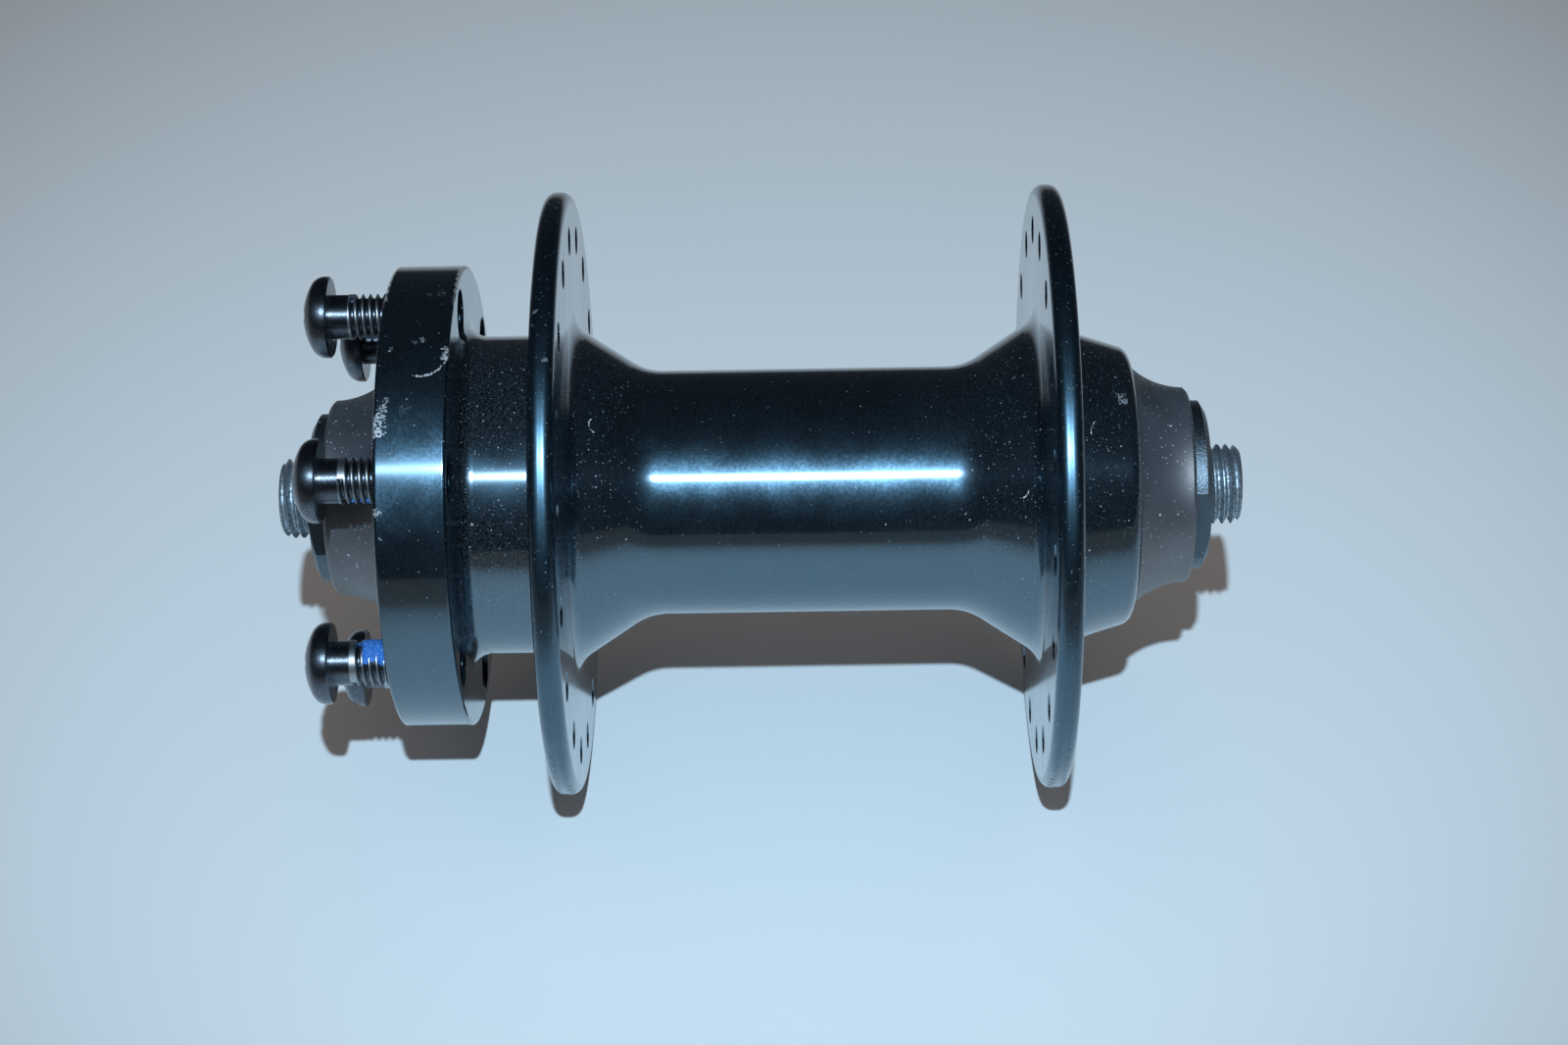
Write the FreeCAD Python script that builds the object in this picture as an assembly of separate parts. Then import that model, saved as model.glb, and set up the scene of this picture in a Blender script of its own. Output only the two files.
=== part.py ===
"""Front hub of a bicycle wheel, for a quick-release fork and a six-bolt brake rotor.

Millimetres. The axle lies along Y with the rotor mount on its +Y side, X points forward and Z is up.
The origin is the middle of the axle, half way between the two faces that the fork clamps.
"""
import FreeCAD, Part
import math
import os
from FreeCAD import Vector

ORIGIN = Vector(0, 0, 0)
AXLE_LINE = Vector(0, 1, 0)
FORWARD = Vector(1, 0, 0)
FULL_TURN = 360.0

# Axle: hollow for a quick-release skewer, with a rolled thread at each end
AXLE_LENGTH = 108.0
AXLE_DIAMETER = 9.0
AXLE_PITCH = 1.0
AXLE_BORE = 5.3
AXLE_SHANK_DIAMETER = 8.7
AXLE_THREAD_LENGTH = 25.0
AXLE_END_CHAMFER = 0.6
AXLE_BORE_CHAMFER = 0.35

# Locknuts: the fork clamps their outer faces, which lie this far in from the ends of the axle
AXLE_STUB = 4.0
LOCKNUT_LENGTH = 5.0
LOCKNUT_DIAMETER = 19.0
LOCKNUT_ACROSS_FLATS = 17.0
LOCKNUT_COLLAR_DIAMETER = 20.4
LOCKNUT_COLLAR_LENGTH = 2.0
LOCKNUT_CHAMFER_WIDTH = 1.0
LOCKNUT_CHAMFER_LENGTH = 0.6
LOCKNUT_ANGLES = {"left": 110.0, "right": 92.0}
SERRATION_COUNT = 36
SERRATION_DEPTH = 0.25
SERRATION_BORDER = 0.7

# Washers between cone and locknut
WASHER_THICKNESS = 1.0
WASHER_DIAMETER = 16.8

# Cones
CONE_FLATS_LENGTH = 2.6
CONE_FLATS_DIAMETER = 15.0
CONE_ACROSS_FLATS = 13.0
CONE_BODY_DIAMETER = 16.6
CONE_COLLAR_LENGTH = 0.8
CONE_GROOVE_DIAMETER = 14.6
CONE_GROOVE_LENGTH = 1.6
CONE_SHOULDER_LENGTH = 3.2
CONE_NOSE_LENGTH = 1.8
CONE_EDGE = 0.3

# Ball bearings
BALL_DIAMETER = 4.7625
BALL_COUNT = 10
BALL_CIRCLE = 15.9
CONTACT_ANGLE = 45.0
RACE_CONFORMITY = 1.06
BALL_CLEARANCE = 0.04

# Cups pressed into the shell
CUP_DIAMETER = 24.0
CUP_WEB = 1.0
CUP_LIP_LENGTH = 2.9
CUP_HOLE_DIAMETER = 12.6
CUP_EDGE = 0.4

# Dust caps pressed into the shell beside the cups
DUST_CAP_DIAMETER = 24.8
DUST_CAP_WALL = 0.8
DUST_CAP_INSET = 0.6
DUST_CAP_BORE = 19.0
SEAL_CLEARANCE = 0.12
SEAL_LIP_THICKNESS = 0.7

# Rubber boots between locknut and shell
BOOT_TIP_DIAMETER = 22.0
BOOT_MOUTH_DIAMETER = 27.0
BOOT_SAG = 0.6
BOOT_WALL = 1.4
BOOT_TIP_SLOPE = 0.35
BOOT_TIP_REACH = 1.05
BOOT_LIP_CHAMFER = 0.3
BOOT_NUT_CLEARANCE = 0.1
BOOT_GAP = 0.3

# Hub shell
SHELL_END_DIAMETER = 30.8
SHELL_END_ROUNDING = 1.6
SHELL_END_ROOT_DIAMETER = 35.8
SHELL_END_ROOT_FILLET = 2.0
SHELL_THROUGH_BORE = 21.0
BARREL_DIAMETER = 27.6
BARREL_FILLET = 6.0
FLARE_ANGLE = 33.0
FLARE_ROOT_DIAMETER = 38.0
FLARE_ROOT_FILLET = 3.0
BODY_DIAMETER = 36.0
BODY_FILLET = 1.5
MOUNT_ROOT_FILLET = 2.0

# Spoke flanges, with insets from the fork faces to the middle of each flange
FLANGE_DIAMETER = 68.0
FLANGE_THICKNESS = 2.75
FLANGE_RIM_ROUNDING = 1.15
LEFT_FLANGE_INSET = 28.0
RIGHT_FLANGE_INSET = 17.6
SPOKE_HOLES_PER_FLANGE = 18
SPOKE_CIRCLE = 58.0
SPOKE_HOLE_DIAMETER = 2.6
SPOKE_HOLE_SINK = 0.35
LEFT_SPOKE_ANGLE = 10.0
RIGHT_SPOKE_ANGLE = 0.0

# Rotor mount and its bolts, each started a little way, as far as its stand-off from mount to head
ROTOR_FACE_INSET = 9.7
ROTOR_MOUNT_DIAMETER = 52.0
ROTOR_MOUNT_THICKNESS = 7.7
ROTOR_MOUNT_EDGE = 0.4
ROTOR_BOLT_CIRCLE = 44.0
ROTOR_BOLT_COUNT = 6
ROTOR_BOLT_ANGLE = 40.0
ROTOR_HOLE_CLEARANCE = 0.08
ROTOR_HOLE_SINK = 0.4
BOLT_DIAMETER = 5.0
BOLT_PITCH = 0.8
BOLT_LENGTH = 10.0
BOLT_NECK_DIAMETER = 4.9
BOLT_NECK_LENGTH = 2.0
BOLT_TIP_CHAMFER = 0.5
BOLT_HEAD_DIAMETER = 9.0
BOLT_HEAD_HEIGHT = 3.05
BOLT_HEAD_RIM = 0.65
BOLT_HEAD_EDGE = 0.2
BOLT_HEAD_ROUNDING = 1.6
BOLT_STAND_OFFS = (5.95, 6.5, 6.0, 6.3, 5.95, 6.5)
SOCKET_POINT_DIAMETER = 4.5
SOCKET_WAIST_DIAMETER = 3.27
SOCKET_LOBE_RADIUS = 0.37
SOCKET_LOBES = 6
SOCKET_DEPTH = 2.2

# Fits
THREAD_FIT = 0.02
THREAD_DEPTH_SHARE = 0.6134
THREAD_ROOT_SHARE = 1 / 12
THREAD_FLANK_ANGLE = 30.0

# Stations along Y, from the fork face inwards
LOCKNUT_FACE = AXLE_LENGTH / 2 - AXLE_STUB
WASHER_FACE = LOCKNUT_FACE - LOCKNUT_LENGTH
CONE_END = WASHER_FACE - WASHER_THICKNESS
CONE_COLLAR_END = CONE_END - CONE_FLATS_LENGTH
CONE_GROOVE_END = CONE_COLLAR_END - CONE_COLLAR_LENGTH
CONE_GROOVE_START = CONE_GROOVE_END - CONE_GROOVE_LENGTH
CONE_FACE = CONE_GROOVE_START - CONE_SHOULDER_LENGTH
BALL_RADIUS = BALL_DIAMETER / 2
RACE_RADIUS = BALL_RADIUS * RACE_CONFORMITY
BALL_PLANE = CONE_FACE - BALL_RADIUS - BALL_CLEARANCE
CUP_INNER_FACE = BALL_PLANE - BALL_RADIUS - BALL_CLEARANCE - CUP_WEB
CUP_OUTER_FACE = BALL_PLANE + CUP_LIP_LENGTH
DUST_CAP_FACE = CONE_GROOVE_END + SEAL_LIP_THICKNESS / 2
SHELL_END = DUST_CAP_FACE + DUST_CAP_INSET
BOOT_MOUTH = SHELL_END + BOOT_GAP
LEFT_FLANGE = LOCKNUT_FACE - LEFT_FLANGE_INSET
RIGHT_FLANGE = RIGHT_FLANGE_INSET - LOCKNUT_FACE
ROTOR_FACE = LOCKNUT_FACE - ROTOR_FACE_INSET
ROTOR_MOUNT_BACK = ROTOR_FACE - ROTOR_MOUNT_THICKNESS


def rounded(corners):
    """Path of lines and tangent arcs; a corner is (radius, station) or (radius, station, rounding)."""
    path = []
    for i, corner in enumerate(corners):
        here = Vector(corner[0], corner[1], 0)
        if len(corner) == 2:
            path.append((here.x, here.y))
            continue
        before = Vector(corners[i - 1][0], corners[i - 1][1], 0)
        after = Vector(*corners[(i + 1) % len(corners)][:2], 0)
        back = (before - here).normalize()
        ahead = (after - here).normalize()
        half_angle = back.getAngle(ahead) / 2
        reach = corner[2] / math.tan(half_angle)
        middle = here + (back + ahead).normalize() * (corner[2] / math.sin(half_angle) - corner[2])
        start = here + back * reach
        end = here + ahead * reach
        path.append((start.x, start.y))
        path.append(((middle.x, middle.y), (end.x, end.y)))
    return path


def face(path):
    """Closed face in the plane of X and Y; a step is a point, or (middle, end) of an arc."""
    edges = []
    start = here = Vector(*path[0], 0)
    for step in path[1:] + [path[0]]:
        if isinstance(step[0], tuple):
            middle = Vector(*step[0], 0)
            end = Vector(*step[1], 0)
            edges.append(Part.Arc(here, middle, end).toShape())
        else:
            end = Vector(*step, 0)
            if here.isEqual(end, 1e-7):
                continue
            edges.append(Part.LineSegment(here, end).toShape())
        here = end
    return Part.Face(Part.Wire(edges))


def turn(path):
    """Solid turned about the axle line from its half section."""
    return face(path).revolve(ORIGIN, AXLE_LINE, FULL_TURN)


def disc(radius, start, end):
    """Plain cylinder on the axle line between two stations."""
    return Part.makeCylinder(radius, end - start, Vector(0, start, 0), AXLE_LINE)


def around(shape, angle):
    """Copy turned about the axle line; the angle runs from the rear side of the hub up to its top."""
    copy = shape.copy()
    copy.rotate(ORIGIN, AXLE_LINE, angle)
    return copy


def on_side(shape, side):
    """A piece is drawn on the left, +Y side; the right one is the same piece turned end for end."""
    if side == "right":
        shape.rotate(ORIGIN, FORWARD, FULL_TURN / 2)
    return shape


def with_flats(piece, diameter, across_flats, start, end):
    """Round piece with a wrench flat above and one below, cut between two stations."""
    depth = diameter - across_flats
    for edge in (across_flats / 2, -across_flats / 2 - depth):
        piece = piece.cut(Part.makeBox(diameter, end - start, depth, Vector(-diameter / 2, start, edge)))
    return piece


def thread_groove(diameter, pitch, length):
    """Helical 60 degree groove along +Y from the origin, to cut from a shank of this diameter."""
    radius = diameter / 2
    depth = THREAD_DEPTH_SHARE * pitch
    root_half = THREAD_ROOT_SHARE * pitch
    overrun = THREAD_ROOT_SHARE * pitch
    mouth_half = root_half + (depth + overrun) * math.tan(math.radians(THREAD_FLANK_ANGLE))
    corners = [
        Vector(radius - depth, 0, -root_half),
        Vector(radius + overrun, 0, -mouth_half),
        Vector(radius + overrun, 0, mouth_half),
        Vector(radius - depth, 0, root_half),
    ]
    profile = Part.makePolygon(corners + corners[:1])
    groove = Part.Wire(Part.makeHelix(pitch, length, radius)).makePipeShell([profile], True, True)
    groove.rotate(ORIGIN, FORWARD, -FULL_TURN / 4)
    return groove


def make_axle():
    """Steel tube with a shank between two threaded ends."""
    half = AXLE_LENGTH / 2
    thread_start = half - AXLE_THREAD_LENGTH
    thread_radius = AXLE_DIAMETER / 2
    shank_radius = AXLE_SHANK_DIAMETER / 2
    corners = []
    for end in (-1, 1):
        run = [
            (AXLE_BORE / 2 + AXLE_BORE_CHAMFER, half * end),
            (thread_radius - AXLE_END_CHAMFER, half * end),
            (thread_radius, (half - AXLE_END_CHAMFER) * end),
            (thread_radius, thread_start * end),
            (shank_radius, (thread_start - AXLE_DIAMETER / 2 + shank_radius) * end),
        ]
        corners += run if end < 0 else run[::-1]
    corners.append((AXLE_BORE / 2, half - AXLE_BORE_CHAMFER))
    corners.append((AXLE_BORE / 2, AXLE_BORE_CHAMFER - half))
    axle = turn(rounded(corners))
    groove = thread_groove(AXLE_DIAMETER, AXLE_PITCH, AXLE_THREAD_LENGTH + AXLE_PITCH)
    groove.translate(Vector(0, thread_start, 0))
    other = groove.copy()
    other.rotate(ORIGIN, FORWARD, FULL_TURN / 2)
    return axle.cut([groove, other])


def make_locknut(side):
    """Round nut with two wrench flats, a wider collar for the boot and a serrated face for the fork."""
    bore = AXLE_DIAMETER / 2 + THREAD_FIT
    body = LOCKNUT_DIAMETER / 2
    collar = LOCKNUT_COLLAR_DIAMETER / 2
    collar_end = WASHER_FACE + LOCKNUT_COLLAR_LENGTH
    nut = turn([
        (bore, WASHER_FACE),
        (collar, WASHER_FACE),
        (collar, collar_end),
        (body, collar_end),
        (body, LOCKNUT_FACE - LOCKNUT_CHAMFER_LENGTH),
        (body - LOCKNUT_CHAMFER_WIDTH, LOCKNUT_FACE),
        (bore, LOCKNUT_FACE),
    ])
    nut = with_flats(nut, LOCKNUT_DIAMETER, LOCKNUT_ACROSS_FLATS, collar_end, LOCKNUT_FACE)
    inner = bore + SERRATION_BORDER
    outer = LOCKNUT_ACROSS_FLATS / 2 - SERRATION_BORDER
    notch = Part.makePolygon([
        Vector(inner, LOCKNUT_FACE, -SERRATION_DEPTH),
        Vector(inner, LOCKNUT_FACE, SERRATION_DEPTH),
        Vector(inner, LOCKNUT_FACE - SERRATION_DEPTH, 0),
        Vector(inner, LOCKNUT_FACE, -SERRATION_DEPTH),
    ])
    tooth = Part.Face(notch).extrude(Vector(outer - inner, 0, 0))
    nut = nut.cut([around(tooth, FULL_TURN * i / SERRATION_COUNT) for i in range(SERRATION_COUNT)])
    return around(on_side(nut, side), LOCKNUT_ANGLES[side])


def make_washer(side):
    """Flat steel washer between cone and locknut."""
    bore = AXLE_DIAMETER / 2 + THREAD_FIT
    washer = disc(WASHER_DIAMETER / 2, CONE_END, WASHER_FACE).cut(disc(bore, CONE_END, WASHER_FACE))
    return on_side(washer, side)


def race_points(direction):
    """Centre and contact point of a race; direction 1 is the cup's side of the ball, -1 the cone's."""
    along = Vector(math.cos(math.radians(CONTACT_ANGLE)), -math.sin(math.radians(CONTACT_ANGLE)), 0)
    ball = Vector(BALL_CIRCLE / 2, BALL_PLANE, 0)
    contact = ball + along * direction * (BALL_RADIUS + BALL_CLEARANCE)
    centre = contact - along * direction * RACE_RADIUS
    return centre, contact


def make_cup(side):
    """Hardened steel cup whose race holds the balls from outside."""
    centre, contact = race_points(1)
    path = rounded([
        (CUP_HOLE_DIAMETER / 2, CUP_INNER_FACE),
        (CUP_DIAMETER / 2 - CUP_EDGE, CUP_INNER_FACE),
        (CUP_DIAMETER / 2, CUP_INNER_FACE + CUP_EDGE),
        (CUP_DIAMETER / 2, CUP_OUTER_FACE),
        (centre.x + RACE_RADIUS, CUP_OUTER_FACE),
    ])
    path.append((centre.x + RACE_RADIUS, centre.y))
    path.append(((contact.x, contact.y), (centre.x, centre.y - RACE_RADIUS)))
    path.append((CUP_HOLE_DIAMETER / 2, centre.y - RACE_RADIUS))
    return on_side(turn(path), side)


def make_balls(side):
    """Loose bearing balls on their pitch circle."""
    ball = Part.makeSphere(BALL_RADIUS, Vector(-BALL_CIRCLE / 2, BALL_PLANE, 0))
    balls = [around(ball, FULL_TURN * i / BALL_COUNT) for i in range(BALL_COUNT)]
    return on_side(Part.makeCompound(balls), side)


def make_cone(side):
    """Steel cone: race at its nose, groove for the seal, two flats for a thin wrench."""
    bore = AXLE_DIAMETER / 2 + THREAD_FIT
    body = CONE_BODY_DIAMETER / 2
    groove = CONE_GROOVE_DIAMETER / 2
    centre, contact = race_points(-1)
    path = [
        (bore, centre.y - CONE_NOSE_LENGTH),
        (centre.x - RACE_RADIUS, centre.y - CONE_NOSE_LENGTH),
        (centre.x - RACE_RADIUS, centre.y),
        ((contact.x, contact.y), (centre.x, centre.y + RACE_RADIUS)),
    ]
    path += rounded([
        (body, centre.y + RACE_RADIUS),
        (body, CONE_GROOVE_START),
        (groove, CONE_GROOVE_START),
        (groove, CONE_GROOVE_END),
        (body - CONE_EDGE, CONE_GROOVE_END),
        (body, CONE_GROOVE_END + CONE_EDGE),
        (body, CONE_COLLAR_END),
        (CONE_FLATS_DIAMETER / 2, CONE_COLLAR_END),
        (CONE_FLATS_DIAMETER / 2, CONE_END),
        (bore, CONE_END),
    ])
    cone = with_flats(turn(path), CONE_BODY_DIAMETER, CONE_ACROSS_FLATS, CONE_COLLAR_END, CONE_END)
    return on_side(cone, side)


def make_cone_seal(side):
    """Rubber ring in the cone's groove, with a lip that runs in the dust cap."""
    seat = CONE_GROOVE_DIAMETER / 2
    lip = DUST_CAP_BORE / 2 - SEAL_CLEARANCE
    waist = CONE_BODY_DIAMETER / 2
    seal = turn([
        (seat, CONE_GROOVE_START),
        (waist, CONE_GROOVE_START),
        (lip, CONE_GROOVE_END - SEAL_LIP_THICKNESS),
        (lip, CONE_GROOVE_END),
        (seat, CONE_GROOVE_END),
    ])
    return on_side(seal, side)


def make_dust_cap(side):
    """Pressed steel ring that closes the shell around the cone."""
    radius = DUST_CAP_DIAMETER / 2
    cap = turn(rounded([
        (DUST_CAP_BORE / 2, DUST_CAP_FACE - DUST_CAP_WALL),
        (radius - DUST_CAP_WALL, DUST_CAP_FACE - DUST_CAP_WALL),
        (radius - DUST_CAP_WALL, CUP_OUTER_FACE),
        (radius, CUP_OUTER_FACE),
        (radius, DUST_CAP_FACE, DUST_CAP_WALL / 2),
        (DUST_CAP_BORE / 2, DUST_CAP_FACE),
    ]))
    return on_side(cap, side)


def make_boot(side):
    """Rubber boot: grips the locknut's collar and flares to the end of the shell."""
    tip = BOOT_TIP_DIAMETER / 2
    mouth = BOOT_MOUTH_DIAMETER / 2
    collar = LOCKNUT_COLLAR_DIAMETER / 2
    collar_end = WASHER_FACE + LOCKNUT_COLLAR_LENGTH
    opening = LOCKNUT_DIAMETER / 2 + BOOT_NUT_CLEARANCE
    tip_end = collar_end + BOOT_TIP_REACH
    shoulder = tip_end - BOOT_TIP_SLOPE
    chord = Vector(mouth - tip, BOOT_MOUTH - shoulder, 0)
    inward = Vector(chord.y, -chord.x, 0).normalize()
    middle = Vector(tip, shoulder, 0) + chord * 0.5 + inward * BOOT_SAG
    inner_middle = middle + inward * BOOT_WALL
    path = rounded([
        (opening, tip_end),
        (opening, collar_end),
        (collar, collar_end),
        (collar, WASHER_FACE),
    ])
    path.append(((inner_middle.x, inner_middle.y), (mouth - BOOT_WALL, BOOT_MOUTH)))
    path.append((mouth - BOOT_LIP_CHAMFER, BOOT_MOUTH))
    path.append((mouth, BOOT_MOUTH + BOOT_LIP_CHAMFER))
    path.append(((middle.x, middle.y), (tip, shoulder)))
    return on_side(turn(path), side)


def shell_section():
    """Half section of the hub shell, from its right end round to its left end and back through the bore."""
    flange = FLANGE_DIAMETER / 2
    flare_root = FLARE_ROOT_DIAMETER / 2
    barrel = BARREL_DIAMETER / 2
    body = BODY_DIAMETER / 2
    mount = ROTOR_MOUNT_DIAMETER / 2
    end = SHELL_END_DIAMETER / 2
    cap_seat = DUST_CAP_DIAMETER / 2
    cup_seat = CUP_DIAMETER / 2
    through = SHELL_THROUGH_BORE / 2
    flare_length = (flare_root - barrel) / math.tan(math.radians(FLARE_ANGLE))
    right_outer = RIGHT_FLANGE - FLANGE_THICKNESS / 2
    right_inner = RIGHT_FLANGE + FLANGE_THICKNESS / 2
    left_inner = LEFT_FLANGE - FLANGE_THICKNESS / 2
    left_outer = LEFT_FLANGE + FLANGE_THICKNESS / 2
    boss_rounding = (SHELL_END - ROTOR_FACE) / 2
    return rounded([
        (cap_seat, -SHELL_END),
        (end, -SHELL_END, SHELL_END_ROUNDING),
        (SHELL_END_ROOT_DIAMETER / 2, right_outer, SHELL_END_ROOT_FILLET),
        (flange, right_outer, FLANGE_RIM_ROUNDING),
        (flange, right_inner, FLANGE_RIM_ROUNDING),
        (flare_root, right_inner, FLARE_ROOT_FILLET),
        (barrel, right_inner + flare_length, BARREL_FILLET),
        (barrel, left_inner - flare_length, BARREL_FILLET),
        (flare_root, left_inner, FLARE_ROOT_FILLET),
        (flange, left_inner, FLANGE_RIM_ROUNDING),
        (flange, left_outer, FLANGE_RIM_ROUNDING),
        (body, left_outer, BODY_FILLET),
        (body, ROTOR_MOUNT_BACK, MOUNT_ROOT_FILLET),
        (mount, ROTOR_MOUNT_BACK, ROTOR_MOUNT_EDGE),
        (mount, ROTOR_FACE, ROTOR_MOUNT_EDGE),
        (end, ROTOR_FACE),
        (end, SHELL_END, boss_rounding),
        (cap_seat, SHELL_END),
        (cap_seat, CUP_OUTER_FACE),
        (cup_seat, CUP_OUTER_FACE),
        (cup_seat, CUP_INNER_FACE),
        (through, CUP_INNER_FACE),
        (through, -CUP_INNER_FACE),
        (cup_seat, -CUP_INNER_FACE),
        (cup_seat, -CUP_OUTER_FACE),
        (cap_seat, -CUP_OUTER_FACE),
    ])


def drill(radius, start, end, circle, sink_start, sink_end):
    """Drill along Y at the rear of a bolt circle, with a 45 degree sink of this depth at each face."""
    section = [
        (0, start - sink_start),
        (radius + 2 * sink_start, start - sink_start),
        (radius, start + sink_start),
        (radius, end - sink_end),
        (radius + 2 * sink_end, end + sink_end),
        (0, end + sink_end),
    ]
    tool = turn(section)
    tool.translate(Vector(-circle / 2, 0, 0))
    return tool


def make_hub_shell():
    """Forged and turned aluminium shell: barrel, two spoke flanges and the rotor mount in one piece."""
    shell = turn(shell_section())
    tools = []
    for flange, first_angle in ((LEFT_FLANGE, LEFT_SPOKE_ANGLE), (RIGHT_FLANGE, RIGHT_SPOKE_ANGLE)):
        start = flange - FLANGE_THICKNESS / 2
        end = flange + FLANGE_THICKNESS / 2
        hole = drill(SPOKE_HOLE_DIAMETER / 2, start, end, SPOKE_CIRCLE, SPOKE_HOLE_SINK, SPOKE_HOLE_SINK)
        for i in range(SPOKE_HOLES_PER_FLANGE):
            tools.append(around(hole, first_angle + FULL_TURN * i / SPOKE_HOLES_PER_FLANGE))
    bolt_hole = BOLT_DIAMETER / 2 + ROTOR_HOLE_CLEARANCE
    hole = drill(bolt_hole, ROTOR_MOUNT_BACK, ROTOR_FACE, ROTOR_BOLT_CIRCLE, ROTOR_HOLE_SINK, ROTOR_HOLE_SINK)
    for i in range(ROTOR_BOLT_COUNT):
        tools.append(around(hole, ROTOR_BOLT_ANGLE + FULL_TURN * i / ROTOR_BOLT_COUNT))
    return shell.cut(tools)


def polar(radius, angle):
    """Point in the plane of X and Y."""
    return Vector(radius * math.cos(angle), radius * math.sin(angle), 0)


def socket_section():
    """Lobed socket: convex points joined by tangent hollow arcs, in the plane of X and Y."""
    lobe = SOCKET_LOBE_RADIUS
    point = SOCKET_POINT_DIAMETER / 2
    waist = SOCKET_WAIST_DIAMETER / 2
    lobe_centre = point - lobe
    step = math.pi / SOCKET_LOBES
    gap = lobe_centre ** 2 + waist ** 2 - 2 * lobe_centre * waist * math.cos(step) - lobe ** 2
    hollow = gap / (2 * (lobe - waist + lobe_centre * math.cos(step)))
    edges = []
    for i in range(SOCKET_LOBES):
        angle = 2 * step * i
        centre = polar(lobe_centre, angle)
        joins = []
        for hollow_angle in (angle - step, angle + step):
            outward = (polar(waist + hollow, hollow_angle) - centre).normalize()
            joins.append(centre + outward * lobe)
        following = polar(joins[0].Length, math.atan2(joins[0].y, joins[0].x) + 2 * step)
        edges.append(Part.Arc(joins[0], polar(point, angle), joins[1]).toShape())
        edges.append(Part.Arc(joins[1], polar(waist, angle + step), following).toShape())
    return Part.Face(Part.Wire(edges))


def make_bolt():
    """Button-head bolt with a six-lobed socket, its shank along -Y from the underside of its head."""
    head = BOLT_HEAD_DIAMETER / 2
    neck = BOLT_NECK_DIAMETER / 2
    shank = BOLT_DIAMETER / 2
    dome = BOLT_HEAD_HEIGHT - BOLT_HEAD_RIM
    corner = BOLT_HEAD_ROUNDING
    crown = (head ** 2 + dome ** 2 - 2 * head * corner) / (2 * (dome - corner))
    corner_centre = Vector(head - corner, BOLT_HEAD_RIM, 0)
    crown_centre = Vector(0, BOLT_HEAD_HEIGHT - crown, 0)
    slope = (corner_centre - crown_centre).normalize()
    join = crown_centre + slope * crown
    corner_middle = corner_centre + (FORWARD + slope).normalize() * corner
    crown_middle = crown_centre + (AXLE_LINE + slope).normalize() * crown
    path = [
        (0, -BOLT_LENGTH),
        (shank - BOLT_TIP_CHAMFER, -BOLT_LENGTH),
        (shank, BOLT_TIP_CHAMFER - BOLT_LENGTH),
        (shank, -BOLT_NECK_LENGTH - (shank - neck)),
        (neck, -BOLT_NECK_LENGTH),
        (neck, 0),
        (head - BOLT_HEAD_EDGE, 0),
        (head, BOLT_HEAD_EDGE),
        (head, BOLT_HEAD_RIM),
        ((corner_middle.x, corner_middle.y), (join.x, join.y)),
        ((crown_middle.x, crown_middle.y), (0, BOLT_HEAD_HEIGHT)),
    ]
    bolt = turn(path)
    groove = thread_groove(BOLT_DIAMETER, BOLT_PITCH, BOLT_LENGTH - BOLT_NECK_LENGTH + BOLT_PITCH / 2)
    groove.translate(Vector(0, -BOLT_LENGTH - BOLT_PITCH, 0))
    socket = socket_section().extrude(Vector(0, 0, SOCKET_DEPTH))
    socket.rotate(ORIGIN, FORWARD, -FULL_TURN / 4)
    socket.translate(Vector(0, BOLT_HEAD_HEIGHT - SOCKET_DEPTH, 0))
    return bolt.cut([groove, socket])


def make_parts():
    """Every piece of the hub by its name."""
    parts = {"hub_shell": make_hub_shell(), "axle": make_axle()}
    for side in ("left", "right"):
        parts["bearing_cup_" + side] = make_cup(side)
        parts["bearing_balls_" + side] = make_balls(side)
        parts["cone_" + side] = make_cone(side)
        parts["cone_seal_" + side] = make_cone_seal(side)
        parts["dust_cap_" + side] = make_dust_cap(side)
        parts["washer_" + side] = make_washer(side)
        parts["locknut_" + side] = make_locknut(side)
        parts["rubber_boot_" + side] = make_boot(side)
    bolt = make_bolt()
    for i, stand_off in enumerate(BOLT_STAND_OFFS):
        angle = ROTOR_BOLT_ANGLE + FULL_TURN * i / ROTOR_BOLT_COUNT
        started = bolt.translated(Vector(-ROTOR_BOLT_CIRCLE / 2, ROTOR_FACE + stand_off, 0))
        parts["rotor_bolt_" + str(i + 1)] = around(started, angle)
    return parts


os.makedirs("parts", exist_ok=True)
for name, shape in make_parts().items():
    shape.exportStep("parts/" + name + ".step")
    print(name, len(shape.Solids), shape.isValid(), round(shape.Volume, 2))
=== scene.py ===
"""Looks of a bicycle front hub: black anodised shell, rubber boots, steel axle and rotor bolts.

Metres, in the frame of the CAD part: the axle lies along Y with the rotor mount on its +Y side, Z is up,
and the camera looks from the rear side, -X, down on to the hub. A place on the hub is given by its station
along the axle and its clock angle, which runs from the rear side of the hub up to its top.
"""
import math

import bmesh
import bpy
from mathutils import Matrix, Vector


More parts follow.
